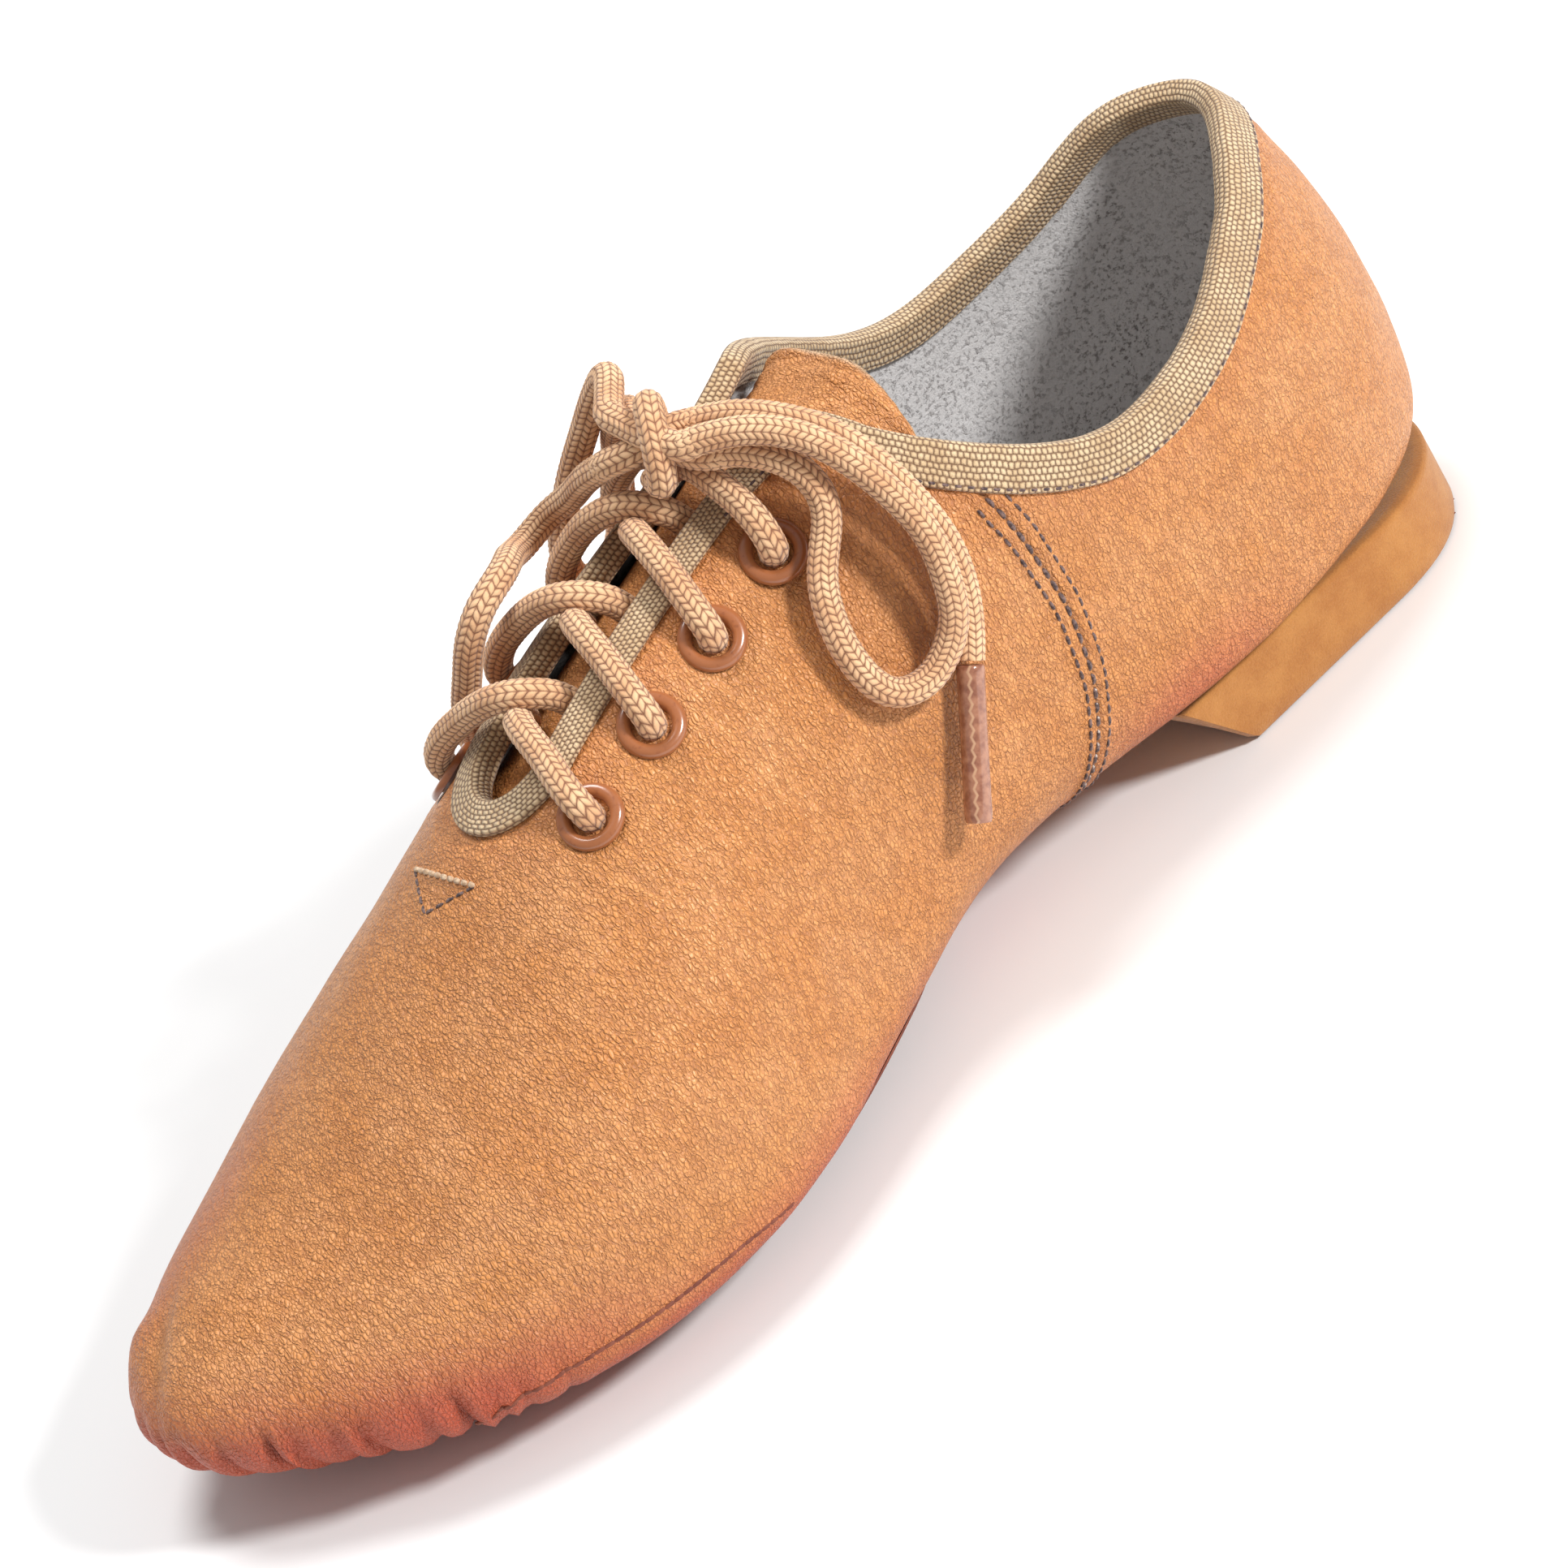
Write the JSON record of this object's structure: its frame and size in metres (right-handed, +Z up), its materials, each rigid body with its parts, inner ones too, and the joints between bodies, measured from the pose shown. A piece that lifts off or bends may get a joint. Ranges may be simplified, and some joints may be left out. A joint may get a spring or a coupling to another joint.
{
  "type": "jazz shoe",
  "caption": "Low lace-up leather jazz shoe for the left foot, with a tied round lace, a thin rubber forefoot sole and a low slanted heel block.",
  "frame": {"origin": "middle of the heel's bearing face, on the floor", "axes": "toe along -X, lateral side along -Y, +Z up"},
  "size_m": [0.2515, 0.0862, 0.0975],
  "materials": {
    "tan_leather": "soft pebbled grain, satin",
    "woven_tape": "woven cotton tape",
    "heel_suede": "matte nap",
    "brown_rubber": "matte, fine waffle tread",
    "grey_lining": "suede lining",
    "eyelet_enamel": "gloss enamel",
    "braided_lace": "braided cotton",
    "aglet_plastic": "clear brown plastic"
  },
  "bodies": {
    "root": {"upper": "tan_leather", "top_binding": "woven_tape", "tongue": "tan_leather", "insole": "grey_lining", "sole_front": "brown_rubber", "heel_block": "heel_suede", "heel_lift": "brown_rubber", "eyelet_left_1": "eyelet_enamel", "eyelet_left_2": "eyelet_enamel", "eyelet_left_3": "eyelet_enamel", "eyelet_left_4": "eyelet_enamel", "eyelet_right_1": "eyelet_enamel", "eyelet_right_2": "eyelet_enamel", "eyelet_right_3": "eyelet_enamel", "eyelet_right_4": "eyelet_enamel", "lace_crossing_1": "braided_lace", "lace_crossing_2": "braided_lace", "lace_crossing_3": "braided_lace", "lace_bar": "braided_lace", "lace_knot": "braided_lace", "lace_loop_left": "braided_lace", "lace_loop_right": "braided_lace", "lace_end_left": "braided_lace", "lace_end_right": "braided_lace", "aglet_left": "aglet_plastic", "aglet_right": "aglet_plastic"}
  },
  "joints": []
}
